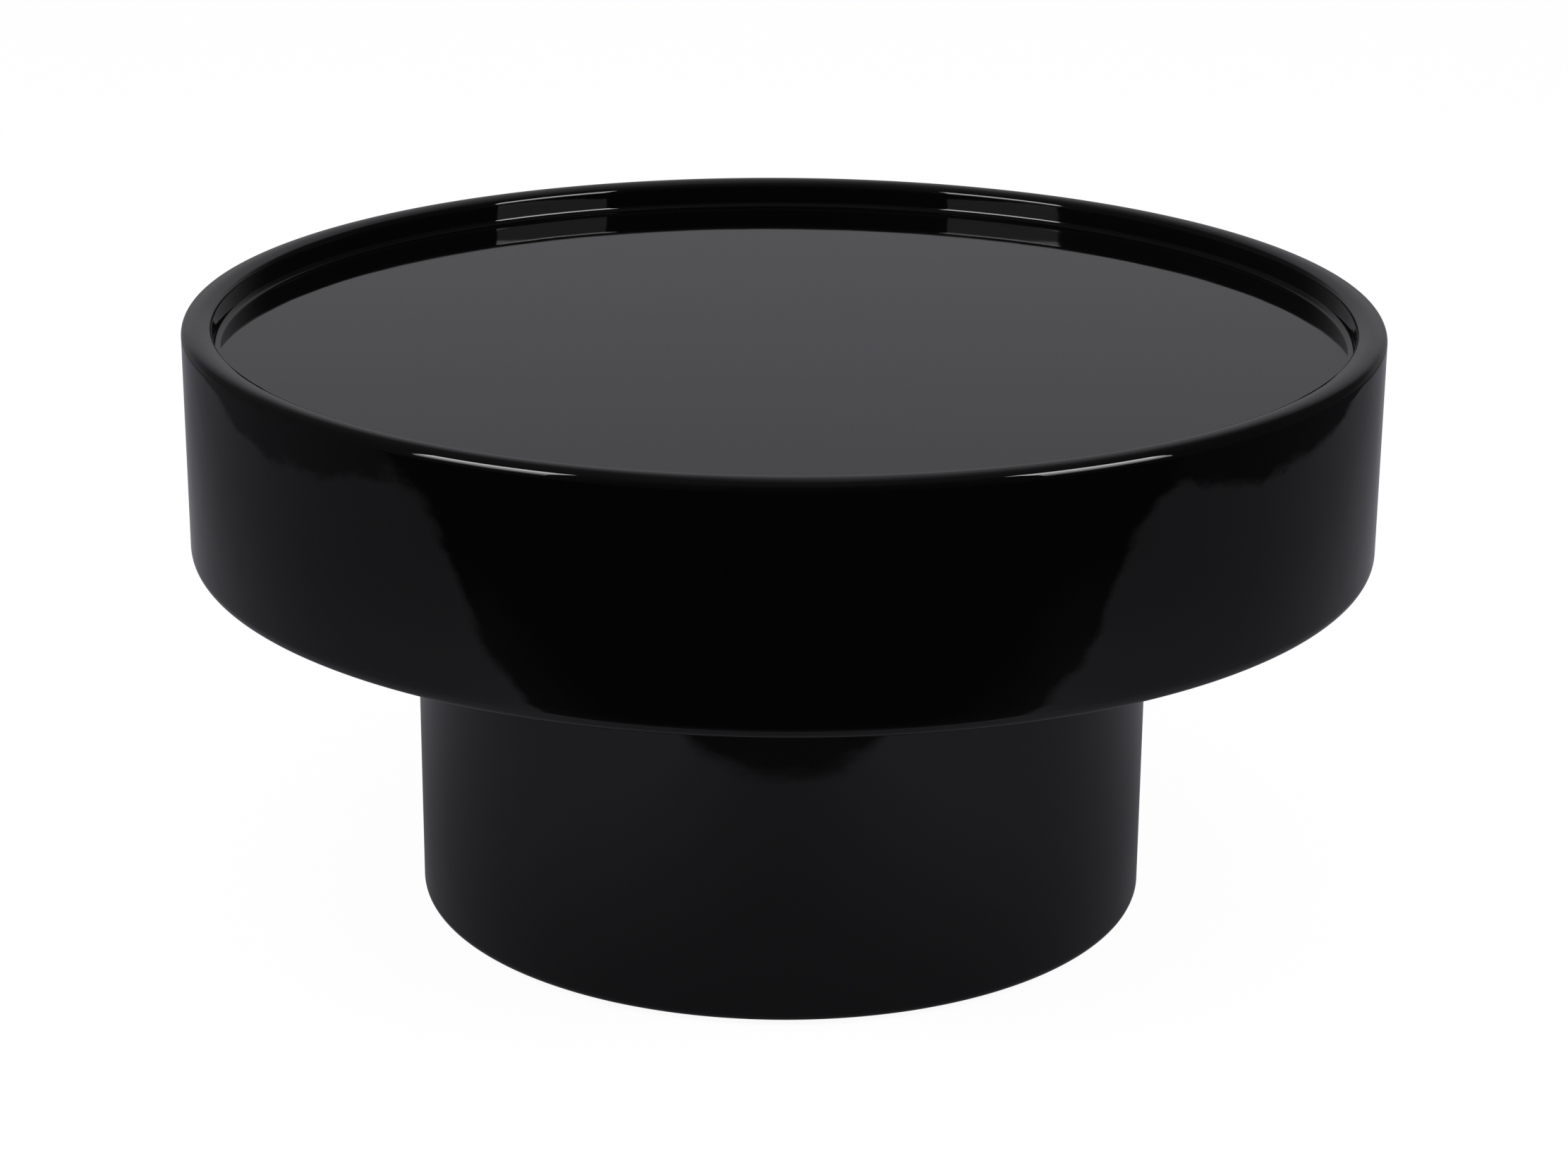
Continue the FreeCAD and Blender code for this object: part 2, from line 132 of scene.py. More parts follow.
# Levels of the paper with its painted light and shade, of the room beside it and of the room past its front
PAPER_TINT = (0.97, 0.97, 1.07)
PAPER_MIDDLE = 0.268
# painted light on the paper, falling off to the sides
PAPER_SIDE = 0.130
PAPER_SIDE_SPAN = (0.3, 1.3)
# painted shade: along the middle of the paper its level is this share of the level around it
PAPER_MIDDLE_SHADE = 0.70
PAPER_MIDDLE_SHADE_SPAN = (0.0, 0.45)
# painted light on the paper, brighter to the front and to the back
PAPER_GLOW_FRONT = 0.12
PAPER_FRONT_SPAN = (-0.6, -0.1)
PAPER_GLOW_BACK = 0.22
PAPER_BACK_SPAN = (0.9, 1.6)
# painted shadow of the table on the paper, deeper to the back than to the front
PAPER_SHADOW = 0.72
PAPER_SHADOW_BACK = 0.48
PAPER_SHADOW_TURN = (-0.40, 0.10)  # from the front's shadow to the back's
PAPER_SHADOW_SPAN = (0.28, 0.80)
BESIDE_LEFT = 0.063
BESIDE_RIGHT = 0.026
BESIDE_SIDES = (-0.5, 0.5)
BESIDE_FRONT = 0.80
BESIDE_FRONT_SPAN = (-0.8, 0.0)
BESIDE_END_SPAN = (-0.70, -0.60)
PAST_FRONT = 0.012
PAST_FRONT_SPAN = (-1.05, -0.75)
PAST_NOTCH = 0.060
PAST_NOTCH_SPAN = (0.74, 1.20)

# Backdrop and room that the lacquer mirrors, with spans in the parts of a direction
BACKDROP_TINT = (0.99, 0.98, 1.03)
BACKDROP_LEVEL = 0.305
BACKDROP_MIDDLE = 0.05  # of the arch, higher up
BACKDROP_MIDDLE_SPAN = (0.20, 0.45)
BACKDROP_HEIGHT_WEIGHT = 1.10
BACKDROP_ASIDE_WEIGHT = 1.45
BACKDROP_ARCH_SPAN = (0.66, 1.28)
BACKDROP_BEHIND_SPAN = (0.10, 0.60)
BACKDROP_HORIZON = 0.64
BACKDROP_HORIZON_SPAN = (-0.02, 0.25)
ROOM_LEFT = 0.068
ROOM_RIGHT = 0.042
ROOM_SIDES = (-0.60, 0.60)
ROOM_FRONT = 0.50
ROOM_FRONT_SPAN = (-1.0, -0.5)
ROOM_OVERHEAD = 0.092
ROOM_OVERHEAD_SPAN = (0.70, 0.95)

# Lamps
AMBIENT = 0.496
SOFTBOX_WIDTH = 1.10
SOFTBOX_LEAN = math.radians(19)
SOFTBOX_PLACES = (Vector((-1.69, -1.25, 0.86)), Vector((1.775, -1.13, 0.86)))  # middle of the lower edge
SOFTBOX_BEARINGS = (math.radians(-21.9), math.radians(25.9))  # of its face, from +Y towards -X
SOFTBOX_STRIPS = ((0.0, 0.25, 0.8), (0.25, 0.68, 4.2), (0.68, 1.26, 9.5))  # from, to, radiance

# Sockets of node groups, and the colour sockets of a Mix node
FLOAT = "NodeSocketFloat"
COLOUR = "NodeSocketColor"
VECTOR = "NodeSocketVector"
MIX_FIRST, MIX_SECOND, MIX_RESULT = 6, 7, 2


# Surfaces

def rounded_profile(corners, spacing):
    """Closed profile of (radius, height) points through the corners (radius, height, round).

    Each round is an arc tangent to both sides: its centre lies on the bisector at round / sin(half
    angle) from the corner. Straight runs are divided evenly into steps of about the spacing.
    """
    points = np.array([c[:2] for c in corners])
    rounds = np.array([c[2] for c in corners])
    back = np.roll(points, 1, axis=0) - points
    ahead = np.roll(points, -1, axis=0) - points
    back /= np.linalg.norm(back, axis=1)[:, None]
    ahead /= np.linalg.norm(ahead, axis=1)[:, None]
    half = np.arccos(np.clip((back * ahead).sum(axis=1), -1, 1)) / 2
    reach = (rounds / np.tan(half))[:, None]
    starts = points + back * reach
    ends = points + ahead * reach
    runs = []
    for i in range(len(corners)):
        if rounds[i] > 0:
            bisector = (back[i] + ahead[i]) / np.linalg.norm(back[i] + ahead[i])
            centre = points[i] + bisector * rounds[i] / math.sin(half[i])
            first = starts[i] - centre
            last = ends[i] - centre
            sweep = math.pi - 2 * half[i]
            t = np.linspace(0, sweep, ROUND_STEPS)[:, None]
            arc = (np.sin(sweep - t) * first + np.sin(t) * last) / math.sin(sweep)
            runs.append(centre + arc)
        else:
            runs.append(points[i][None])
        following = starts[(i + 1) % len(corners)]
        length = np.linalg.norm(following - ends[i])
        steps = max(int(length / spacing), 1)
        t = np.linspace(0, 1, steps + 1)[1:-1, None]
        runs.append(ends[i] + (following - ends[i]) * t)
    return np.vstack(runs)


def hoop_waves(angle, height):
    """Slow waves of a hoop, from 0 to 1: cosines in angle and height, averaged."""
    total = sum(np.cos(n * angle + k * height + phase) for n, k, phase in HOOP_WAVES)
    return 0.5 + 0.5 * total / len(HOOP_WAVES)


def turned_points(profile, steps, wave=0.0):
    """Grid of points: (i, j) is profile point j turned about Z by i / steps of a full turn.

    Each is drawn in towards the axis by the wave's depth times hoop_waves.
    """
    angle = np.linspace(0, 2 * math.pi, steps, endpoint=False)[:, None]
    height = np.repeat(profile[None, :, 1], steps, axis=0)
    radius = profile[None, :, 0] - wave * hoop_waves(angle, height)
    return np.stack([radius * np.cos(angle), radius * np.sin(angle), height], axis=-1)


def grid_quads(steps, count, runs):
    """Quads that join each point (i, j) to (i + 1, j + 1), for the first runs of the profile.

    The turn closes on itself, and so does the profile where there are as many runs as points.
    """
    i = np.arange(steps)[:, None]
    j = np.arange(runs)[None, :]
    here, beside = i * count, (i + 1) % steps * count
    j_next = (j + 1) % count
    return np.stack([here + j, beside + j, beside + j_next, here + j_next], axis=-1).reshape(-1, 4)


def turned_surface(name, profile, steps, wave):
    """Closed surface of revolution of a closed profile about Z, with waves."""
    count = len(profile)
    places = turned_points(profile, steps, wave).reshape(-1, 3)
    return mesh_object(name, places, grid_quads(steps, count, count).tolist())


def turned_disc(name, profile, steps):
    """Closed surface of revolution of a profile that starts and ends on the axis.

    Every profile point but the first and last is turned about Z into a ring. Quads join the rings, and
    the first and last points are single poles that triangles join to their rings.
    """
    rings = turned_points(profile[1:-1], steps).reshape(-1, 3)
    poles = np.array([[0, 0, profile[0, 1]], [0, 0, profile[-1, 1]]])
    count = len(profile) - 2
    here = np.arange(steps)[:, None] * count
    beside = np.roll(here, -1, axis=0)
    pole = np.full((steps, 1), len(rings))
    start_fan = np.hstack([pole, beside, here])
    end_fan = np.hstack([pole + 1, here + count - 1, beside + count - 1])
    faces = grid_quads(steps, count, count - 1).tolist() + start_fan.tolist() + end_fan.tolist()
    return mesh_object(name, np.vstack([rings, poles]), faces)


def mesh_object(name, places, faces):
    """Smooth mesh object at the origin, with edges sharper than the crease angle left sharp."""
    mesh = bpy.data.meshes.new(name)
    mesh.from_pydata(places.tolist(), [], faces)
    mesh.validate()
    mesh.shade_smooth()
    mesh.set_sharp_from_angle(angle=CREASE_ANGLE)
    piece = bpy.data.objects.new(name, mesh)
    bpy.context.scene.collection.objects.link(piece)
    return piece


def settle(piece, material, slot, *nodes):
    """Gives a lacquered piece its finish and lets it stand for its nodes on the table's body."""
    piece.data.materials.append(material)
    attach(piece, "table")
    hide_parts(*nodes)


# Node helpers

def feed(tree, sockets, values):
    """Gives each named socket a plain value, or a link where the value is another node's output."""
    for key, value in values.items():
        if isinstance(value, bpy.types.NodeSocket):
            tree.links.new(value, sockets[key])
        else:
            sockets[key].default_value = value


def put(tree, kind, inputs=None, **attributes):
    """Adds a node, sets its attributes, and feeds its inputs."""
    made = tree.nodes.new(kind)
    for key, value in attributes.items():
        setattr(made, key, value)
    feed(tree, made.inputs, inputs or {})
    return made


def math_node(tree, operation, *values):
    """Result of a Math node on its values."""
    return put(tree, "ShaderNodeMath", dict(enumerate(values)), operation=operation).outputs[0]


def product(tree, first, *others):
    """Product of values, taken from the first on."""
    for other in others:
        first = math_node(tree, "MULTIPLY", first, other)
    return first


def ranged(tree, value, low, high, to_low, to_high):
    """Value taken from one range to another, smoothly and clamped."""
    made = put(tree, "ShaderNodeMapRange", {
        "Value": value, "From Min": low, "From Max": high, "To Min": to_low, "To Max": to_high,
    }, interpolation_type="SMOOTHSTEP")
    return made.outputs["Result"]


def between(tree, factor, first, second):
    """Value between two, by a factor."""
    return put(tree, "ShaderNodeMix", {"Factor": factor, "A": first, "B": second}).outputs["Result"]


def blended(tree, factor, first, second):
    """Colour between two by a factor. Each is another node's output, or red, green and blue."""
    first, second = (c if isinstance(c, bpy.types.NodeSocket) else (*c, 1) for c in (first, second))
    made = put(tree, "ShaderNodeMix", {"Factor": factor, MIX_FIRST: first, MIX_SECOND: second},
               data_type="RGBA")
    return made.outputs[MIX_RESULT]


def scaled(tree, colour, level):
    """Colour times a level that varies."""
    made = put(tree, "ShaderNodeVectorMath", {0: colour, "Scale": level}, operation="SCALE")
    return made.outputs["Vector"]


def parts_of(tree, vector):
    """The X, Y and Z of a vector."""
    return put(tree, "ShaderNodeSeparateXYZ", {"Vector": vector}).outputs


def object_place(tree):
    """Place on the piece, in the shared frame."""
    return put(tree, "ShaderNodeTexCoord").outputs["Object"]


def noise(tree, vector, scale, detail, roughness, distortion=0.0):
    """Noise from 0 to 1 at a vector."""
    made = put(tree, "ShaderNodeTexNoise", {
        "Vector": vector, "Scale": scale, "Detail": detail, "Roughness": roughness,
        "Distortion": distortion})
    return made.outputs["Fac"]


def new_group(name, inputs, outputs):
    """Empty shader node group, as (group, what it is given, what it puts out)."""
    group = bpy.data.node_groups.new(name, "ShaderNodeTree")
    for socket, kind in inputs.items():
        group.interface.new_socket(socket, in_out="INPUT", socket_type=kind)
    for socket, kind in outputs.items():
        group.interface.new_socket(socket, in_out="OUTPUT", socket_type=kind)
    return group, group.nodes.new("NodeGroupInput").outputs, group.nodes.new("NodeGroupOutput").inputs


def place_group(tree, group, inputs):
    """Outputs of a node group that is placed in a tree with its inputs fed."""
    return put(tree, "ShaderNodeGroup", inputs, node_tree=group).outputs


def new_finish(name, **sockets):
    """Material with a Principled shader whose plain sockets are set, as (material, tree, shader)."""
    material = bpy.data.materials.new(name)
    material.use_nodes = True
    tree = material.node_tree
    shader = tree.nodes["Principled BSDF"]
    feed(tree, shader.inputs, sockets)
    return material, tree, shader


def dress(tree, shader, colour, roughness, height):
    """Feeds a varying colour and roughness to the shader, and a height in metres to its normal."""
    bump = put(tree, "ShaderNodeBump", {"Strength": 1.0, "Distance": 1.0, "Height": height})
    feed(tree, shader.inputs, {
        "Base Color": colour, "Roughness": roughness, "Normal": bump.outputs["Normal"]})


# Shared effects

def make_film_group():
    """Sprayed film: slow waves and fine peel as a height, rubbed haze as a roughness, and a tone."""
    group, given, out = new_group(
        "sprayed_film",
        {"Wave Scale": FLOAT, "Wave Height": FLOAT, "Peel Scale": FLOAT, "Peel Height": FLOAT,
         "Smooth": FLOAT, "Hazy": FLOAT},
        {"Height": FLOAT, "Roughness": FLOAT, "Tone": FLOAT},
    )
    place = object_place(group)
    waves = noise(group, place, given["Wave Scale"], detail=3.0, roughness=0.28)
    peel = noise(group, place, given["Peel Scale"], detail=1.0, roughness=0.4)
    rubbed = noise(group, place, scale=7.0, detail=4.0, roughness=0.6)
    cloud = noise(group, place, scale=3.0, detail=3.0, roughness=0.5)
    wave_height = product(group, waves, given["Wave Height"])
    peel_height = product(group, peel, given["Peel Height"])
    feed(group, out, {
        "Height": math_node(group, "ADD", wave_height, peel_height),
        "Roughness": ranged(group, rubbed, *HAZE_SPAN, given["Smooth"], given["Hazy"]),
        "Tone": cloud,
    })
    return group


def make_grain_group():
    """Wood grain along a stretched vector: streaks as a mask, and fine pores as a height."""
    group, given, out = new_group(
        "wood_grain", {"Vector": VECTOR, "Streak Scale": FLOAT}, {"Streak": FLOAT, "Height": FLOAT})
    broad = noise(group, given["Vector"], given["Streak Scale"], detail=5.0, roughness=0.62, distortion=0.8)
    fine = product(group, given["Streak Scale"], PORE_FINENESS)
    pores = noise(group, given["Vector"], fine, detail=2.0, roughness=0.7)
    feed(group, out, {
        "Streak": ranged(group, broad, *MASK_SPAN, 0.0, 1.0),
        "Height": product(group, pores, PORE_DEPTH),
    })
    return group


def make_speckle_group():
    """Fine cast or plated texture: speckle as a mask, and its relief as a height."""
    group, given, out = new_group(
        "fine_speckle", {"Scale": FLOAT, "Relief": FLOAT}, {"Speckle": FLOAT, "Height": FLOAT})
    grains = noise(group, object_place(group), given["Scale"], detail=4.0, roughness=0.65)
    mask = ranged(group, grains, *MASK_SPAN, 0.0, 1.0)
    feed(group, out, {"Speckle": mask, "Height": product(group, mask, given["Relief"])})
    return group


# Finishes

def black_lacquer(name, film, wave_height):
    """Deep black gloss lacquer: rubbed flat, with faint waves, peel and haze."""
    material, tree, shader = new_finish(name, IOR=1.5)
    skin = place_group(tree, film, {
        "Wave Scale": 30.0, "Wave Height": wave_height, "Peel Scale": 420.0, "Peel Height": 0.0000012,
        "Smooth": 0.02, "Hazy": 0.05})
    dress(tree, shader, blended(tree, skin["Tone"], *LACQUER_TONES), skin["Roughness"], skin["Height"])
    return material


def satin_paint(film):
    """Satin black paint on fibreboard, for the underside and the foot ring."""
    material, tree, shader = new_finish("satin_black_paint", IOR=1.45)
    skin = place_group(tree, film, {
        "Wave Scale": 60.0, "Wave Height": 0.00003, "Peel Scale": 900.0, "Peel Height": 0.00002,
        "Smooth": 0.38, "Hazy": 0.56})
    dress(tree, shader, blended(tree, skin["Tone"], *PAINT_TONES), skin["Roughness"], skin["Height"])
    return material


def grained(tree, grain, place, stretch, streak_scale):
    """Outputs of the wood grain at a place that is stretched along it."""
    mapped = put(tree, "ShaderNodeMapping", {"Vector": place, "Scale": stretch}).outputs["Vector"]
    return place_group(tree, grain, {"Vector": mapped, "Streak Scale": streak_scale})


def plywood(name, grain, layer_axis):
    """Birch plywood: grain on its faces, and bands of alternate plies across its thickness."""
    material, tree, shader = new_finish(name, IOR=1.45)
    place = object_place(tree)
    wood = grained(tree, grain, place, PLY_STRETCH, streak_scale=2.2)
    face = blended(tree, wood["Streak"], *PLY_FACE_TONES)
    across = product(tree, parts_of(tree, place)[layer_axis], 2 * math.pi / PLY_PAIR)
    plies = ranged(tree, math_node(tree, "SINE", across), *PLY_BLUR, 0.0, 1.0)
    edge = blended(tree, plies, *PLY_EDGE_TONES)
    normal = put(tree, "ShaderNodeNewGeometry").outputs["True Normal"]
    facing = math_node(tree, "ABSOLUTE", parts_of(tree, normal)[layer_axis])
    colour = blended(tree, ranged(tree, facing, *PLY_FACING, 0.0, 1.0), edge, face)
    roughness = ranged(tree, wood["Streak"], 0.0, 1.0, *PLY_ROUGHNESS)
    dress(tree, shader, colour, roughness, wood["Height"])
    return material


def planed_poplar(grain):
    """Planed poplar battens with the grain upright."""
    material, tree, shader = new_finish("planed_poplar", IOR=1.45)
    wood = grained(tree, grain, object_place(tree), POPLAR_STRETCH, streak_scale=1.6)
    roughness = ranged(tree, wood["Streak"], 0.0, 1.0, *POPLAR_ROUGHNESS)
    dress(tree, shader, blended(tree, wood["Streak"], *POPLAR_TONES), roughness, wood["Height"])
    return material


def plated_steel(name, speckle, tones):
    """Zinc-plated steel whose crystals vary in tone and gloss."""
    material, tree, shader = new_finish(name, Metallic=1.0)
    skin = place_group(tree, speckle, {"Scale": 900.0, "Relief": 0.000004})
    roughness = ranged(tree, skin["Speckle"], 0.0, 1.0, *ZINC_ROUGHNESS)
    dress(tree, shader, blended(tree, skin["Speckle"], *tones), roughness, skin["Height"])
    return material


def moulded_nylon(speckle):
    """Black nylon with a fine spark-eroded texture."""
    material, tree, shader = new_finish("moulded_nylon", IOR=1.5)
    skin = place_group(tree, speckle, {"Scale": 2200.0, "Relief": 0.00002})
    roughness = ranged(tree, skin["Speckle"], 0.0, 1.0, *NYLON_ROUGHNESS)
    dress(tree, shader, blended(tree, skin["Speckle"], *NYLON_TONES), roughness, skin["Height"])
    return material


def dress_nodes(materials):
    """Gives every node that stays in view the finish of its kind: the first whose start its name has."""
    for name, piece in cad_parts.items():
        for start, material in materials.items():
            if name.startswith(start):
                for slot in piece.material_slots:
                    slot.material = material
                break


# Pieces

def drum_skin(lacquer):
    """Drum hoop: crowned rim, upright walls, rounded lower edge and the seat of the underside panel.

    The rim's two slopes meet in a ridge whose round has its crest at the hoop's full height.
    """
    low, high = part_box("drum_hoop")
    seat_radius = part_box("underside_panel")[1].x
    seat_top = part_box("underside_panel")[1].z
    outer = high.x
    inner = outer - DRUM_WALL
    ridge = high.z + RIM_CROWN_ROUND * (1 / math.cos(RIM_SLOPE) - 1)
    edge = ridge - DRUM_WALL / 2 * math.tan(RIM_SLOPE)
    profile = rounded_profile([
        (outer, low.z, DRUM_LOWER_ROUND),
        (outer, edge, RIM_OUTER_ROUND),
        (outer - DRUM_WALL / 2, ridge, RIM_CROWN_ROUND),
        (inner, edge, RIM_INNER_ROUND),
        (inner, seat_top, 0),
        (seat_radius, seat_top, 0),
        (seat_radius, low.z, 0),
    ], WALL_SPACING)
    piece = turned_surface("drum_skin", profile, DRUM_STEPS, HOOP_WAVE_DEPTH)
    settle(piece, lacquer, "black_lacquer", "drum_hoop")


def tray_skin(lacquer):
    """Tray floor with its cove: flat, then a quarter arc that turns up along the rim's wall."""
    low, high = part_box("tray_panel")
    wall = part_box("drum_hoop")[1].x - DRUM_WALL + COVE_SINK
    below = np.array([[0, low.z], [wall / 2, low.z], [wall, low.z]])
    turn = np.linspace(0, math.pi / 2, ROUND_STEPS)[::-1]
    cove = np.stack([
        wall - COVE_RADIUS + COVE_RADIUS * np.sin(turn),
        high.z + COVE_RADIUS * (1 - np.cos(turn)),
    ], axis=1)
    floor = np.linspace(0, wall - COVE_RADIUS, TRAY_RINGS, endpoint=False)[::-1]
    top = np.stack([floor, np.full_like(floor, high.z)], axis=1)
    piece = turned_disc("tray_skin", np.vstack([below, cove, top]), TRAY_STEPS)
    settle(piece, lacquer, "black_lacquer", "tray_panel", "tray_cove")


def base_skin(lacquer):
    """Base hoop: upright walls with a rounded lower edge."""
    low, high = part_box("base_hoop")
    outer = high.x
    inner = outer - BASE_WALL
    profile = rounded_profile([
        (outer, low.z, BASE_LOWER_ROUND),
        (outer, high.z, 0),
        (inner, high.z, 0),
        (inner, low.z, BASE_INNER_ROUND),
    ], WALL_SPACING)
    piece = turned_surface("base_skin", profile, BASE_STEPS, HOOP_WAVE_DEPTH)
    settle(piece, lacquer, "black_lacquer", "base_hoop")


# Studio

def make_backdrop_group():
    """Room by direction: an arch of bright backdrop behind, and dim beside, overhead and in front.

    The arch fades with the distance aside and the height of a direction, taken together.
    """
    group, given, out = new_group("mirrored_backdrop", {"Course": VECTOR}, {"Color": COLOUR})
    parts = parts_of(group, given["Course"])
    middle = ranged(group, parts["Z"], *BACKDROP_MIDDLE_SPAN, 0.0, BACKDROP_MIDDLE)
    aside = math_node(group, "ABSOLUTE", math_node(group, "SUBTRACT", parts["X"], middle))
    height = product(group, math_node(group, "MAXIMUM", parts["Z"], 0.0), BACKDROP_HEIGHT_WEIGHT)
    spread = math_node(group, "MULTIPLY_ADD", aside, BACKDROP_ASIDE_WEIGHT, height)
    arch = ranged(group, spread, *BACKDROP_ARCH_SPAN, 1.0, 0.0)
    behind = ranged(group, parts["Y"], *BACKDROP_BEHIND_SPAN, 0.0, 1.0)
    horizon = ranged(group, parts["Z"], *BACKDROP_HORIZON_SPAN, BACKDROP_HORIZON, 1.0)
    side = ranged(group, parts["X"], *ROOM_SIDES, ROOM_LEFT, ROOM_RIGHT)
    low = product(group, side, ranged(group, parts["Y"], *ROOM_FRONT_SPAN, ROOM_FRONT, 1.0))
    overhead = ranged(group, parts["Z"], *ROOM_OVERHEAD_SPAN, 0.0, 1.0)
    room = between(group, overhead, low, ROOM_OVERHEAD)
    level = between(group, product(group, arch, behind, horizon), room, BACKDROP_LEVEL)
    feed(group, out, {"Color": scaled(group, BACKDROP_TINT, level)})
    return group


def mirrored_paper(tree, x, y, away):
    """Level of the paper on the floor, and of the room beside it and past its front.

    The paper's light and shade are painted: it is dimmer to the sides, darker in a painted shadow of the
    table and in a painted shade along the middle, and brighter to the front and back. It ends at the
    sweep's half width, which tapers to the back, and at its skewed front edge, which is notched in the
    middle, fuller beside the notch, and rounds off into the sides.
    """
    aside = math_node(tree, "ABSOLUTE", x)
    # painted light that falls off to the sides
    level = ranged(tree, aside, *PAPER_SIDE_SPAN, PAPER_MIDDLE, PAPER_SIDE)
    # painted shade along the middle of the paper
    middle_shade = ranged(tree, aside, *PAPER_MIDDLE_SHADE_SPAN, PAPER_MIDDLE_SHADE, 1.0)
    # painted light, brighter to the front and to the back
    nearer = ranged(tree, y, *PAPER_FRONT_SPAN, PAPER_GLOW_FRONT, 0.0)
    farther = ranged(tree, y, *PAPER_BACK_SPAN, 1.0, 1.0 + PAPER_GLOW_BACK)
    glow = math_node(tree, "ADD", nearer, farther)
    # painted shadow of the table, around its axis
    deepest = ranged(tree, y, *PAPER_SHADOW_TURN, PAPER_SHADOW, PAPER_SHADOW_BACK)
    shadow = ranged(tree, away, *PAPER_SHADOW_SPAN, deepest, 1.0)
    lit = product(tree, level, middle_shade, glow, shadow)

    notch = ranged(tree, aside, *SWEEP_NOTCH_SPAN, SWEEP_NOTCH, 0.0)
    belly = ranged(tree, aside, *SWEEP_BELLY_SPAN, -SWEEP_BELLY, 0.0)
    straight = math_node(tree, "MULTIPLY_ADD", x, SWEEP_SKEW, SWEEP_FRONT)
    front = math_node(tree, "ADD", straight, math_node(tree, "ADD", notch, belly))
    past_front = math_node(tree, "SUBTRACT", front, y)
    half = ranged(tree, y, *SWEEP_TAPER_SPAN, SWEEP_HALF_WIDTH, SWEEP_HALF_WIDTH - SWEEP_TAPER)
    past_side = math_node(tree, "SUBTRACT", aside, half)
    corner = math_node(tree, "SMOOTH_MAX", past_front, past_side, SWEEP_CORNER)
    inside = ranged(tree, corner, -SWEEP_EDGE, SWEEP_EDGE, 1.0, 0.0)

    side = ranged(tree, x, *BESIDE_SIDES, BESIDE_LEFT, BESIDE_RIGHT)
    dimmer = ranged(tree, y, *BESIDE_FRONT_SPAN, BESIDE_FRONT, 1.0)
    beside = product(tree, side, dimmer, ranged(tree, y, *BESIDE_END_SPAN, 0.0, 1.0))
    in_notch = ranged(tree, aside, *PAST_NOTCH_SPAN, PAST_NOTCH, PAST_FRONT)
    past = ranged(tree, y, *PAST_FRONT_SPAN, PAST_FRONT, in_notch)
    return between(tree, inside, math_node(tree, "MAXIMUM", beside, past), lit)


def mirrored_ray(tree, rays):
    """1 for a ray that gloss or glass sends, and 0 for any other."""
    return math_node(tree, "MAXIMUM", rays["Is Glossy Ray"], rays["Is Transmission Ray"])


def studio_floor(backdrop):
    """Pale floor: white to the camera with a soft shadow, and a paper sweep in reflections.

    Away from the table the sweep bends up, so there the floor mirrors as the backdrop does. Seen from
    below it is clear, and lets light through to what is seen past it.
    """
    reach = FLOOR_REACH
    mesh = bpy.data.meshes.new("studio_floor")
    corners = [(-reach, -reach, 0), (reach, -reach, 0), (reach, reach, 0), (-reach, reach, 0)]
    mesh.from_pydata(corners, [], [(0, 1, 2, 3)])
    floor = bpy.data.objects.new("studio_floor", mesh)
    bpy.context.scene.collection.objects.link(floor)
    material = bpy.data.materials.new("studio_floor")
    material.use_nodes = True
    material.cycles.emission_sampling = "NONE"
    mesh.materials.append(material)
    tree = material.node_tree
    tree.nodes.clear()
    rays = put(tree, "ShaderNodeLightPath").outputs
    mirrored = mirrored_ray(tree, rays)
    place = object_place(tree)
    parts = parts_of(tree, place)
    away = put(tree, "ShaderNodeVectorMath", {0: place}, operation="LENGTH").outputs["Value"]
    course = put(tree, "ShaderNodeVectorMath", {0: place}, operation="NORMALIZE").outputs["Vector"]
    paper = scaled(tree, PAPER_TINT, mirrored_paper(tree, parts["X"], parts["Y"], away))
    far = place_group(tree, backdrop, {"Course": course})["Color"]
    bent = ranged(tree, away, *SWEEP_BEND_SPAN, 0.0, 1.0)
    sweep = blended(tree, bent, paper, far)
    glossy = put(tree, "ShaderNodeEmission", {"Color": sweep, "Strength": mirrored})
    white = product(tree, rays["Is Camera Ray"], FLOOR_WHITE)
    seen = put(tree, "ShaderNodeEmission", {"Strength": white})
    shade = product(tree, math_node(tree, "SUBTRACT", 1.0, mirrored), FLOOR_SHADE)
    lit = put(tree, "ShaderNodeBsdfDiffuse", {"Color": shade})
    both = put(tree, "ShaderNodeAddShader", {0: seen.outputs[0], 1: glossy.outputs[0]})
    total = put(tree, "ShaderNodeAddShader", {0: both.outputs[0], 1: lit.outputs[0]})
    below = put(tree, "ShaderNodeNewGeometry").outputs["Backfacing"]
    passed = math_node(tree, "MINIMUM", rays["Transparent Depth"], 1.0)
    clear = put(tree, "ShaderNodeBsdfTransparent").outputs[0]
    one_sided = put(tree, "ShaderNodeMixShader", {
        0: math_node(tree, "MAXIMUM", below, passed), 1: total.outputs[0], 2: clear})
    put(tree, "ShaderNodeOutputMaterial", {"Surface": one_sided.outputs[0]})


def studio_world(backdrop):
    """Even light on the object, white behind it, and the backdrop in reflections."""
    world = bpy.data.worlds.new("studio")
    bpy.context.scene.world = world
    world.use_nodes = True
    tree = world.node_tree
    tree.nodes.clear()
    rays = put(tree, "ShaderNodeLightPath").outputs
    mirrored = mirrored_ray(tree, rays)
    course = put(tree, "ShaderNodeTexCoord").outputs["Generated"]
    around = place_group(tree, backdrop, {"Course": course})["Color"]
    plain = math_node(tree, "SUBTRACT", 1.0, math_node(tree, "MAXIMUM", mirrored, rays["Is Camera Ray"]))
    direct = math_node(tree, "MULTIPLY_ADD", plain, AMBIENT, rays["Is Camera Ray"])
    white = put(tree, "ShaderNodeBackground", {"Color": (1, 1, 1, 1), "Strength": direct})
    grey = put(tree, "ShaderNodeBackground", {"Color": around, "Strength": mirrored})
    total = put(tree, "ShaderNodeAddShader", {0: white.outputs[0], 1: grey.outputs[0]})
    put(tree, "ShaderNodeOutputWorld", {"Surface": total.outputs[0]})


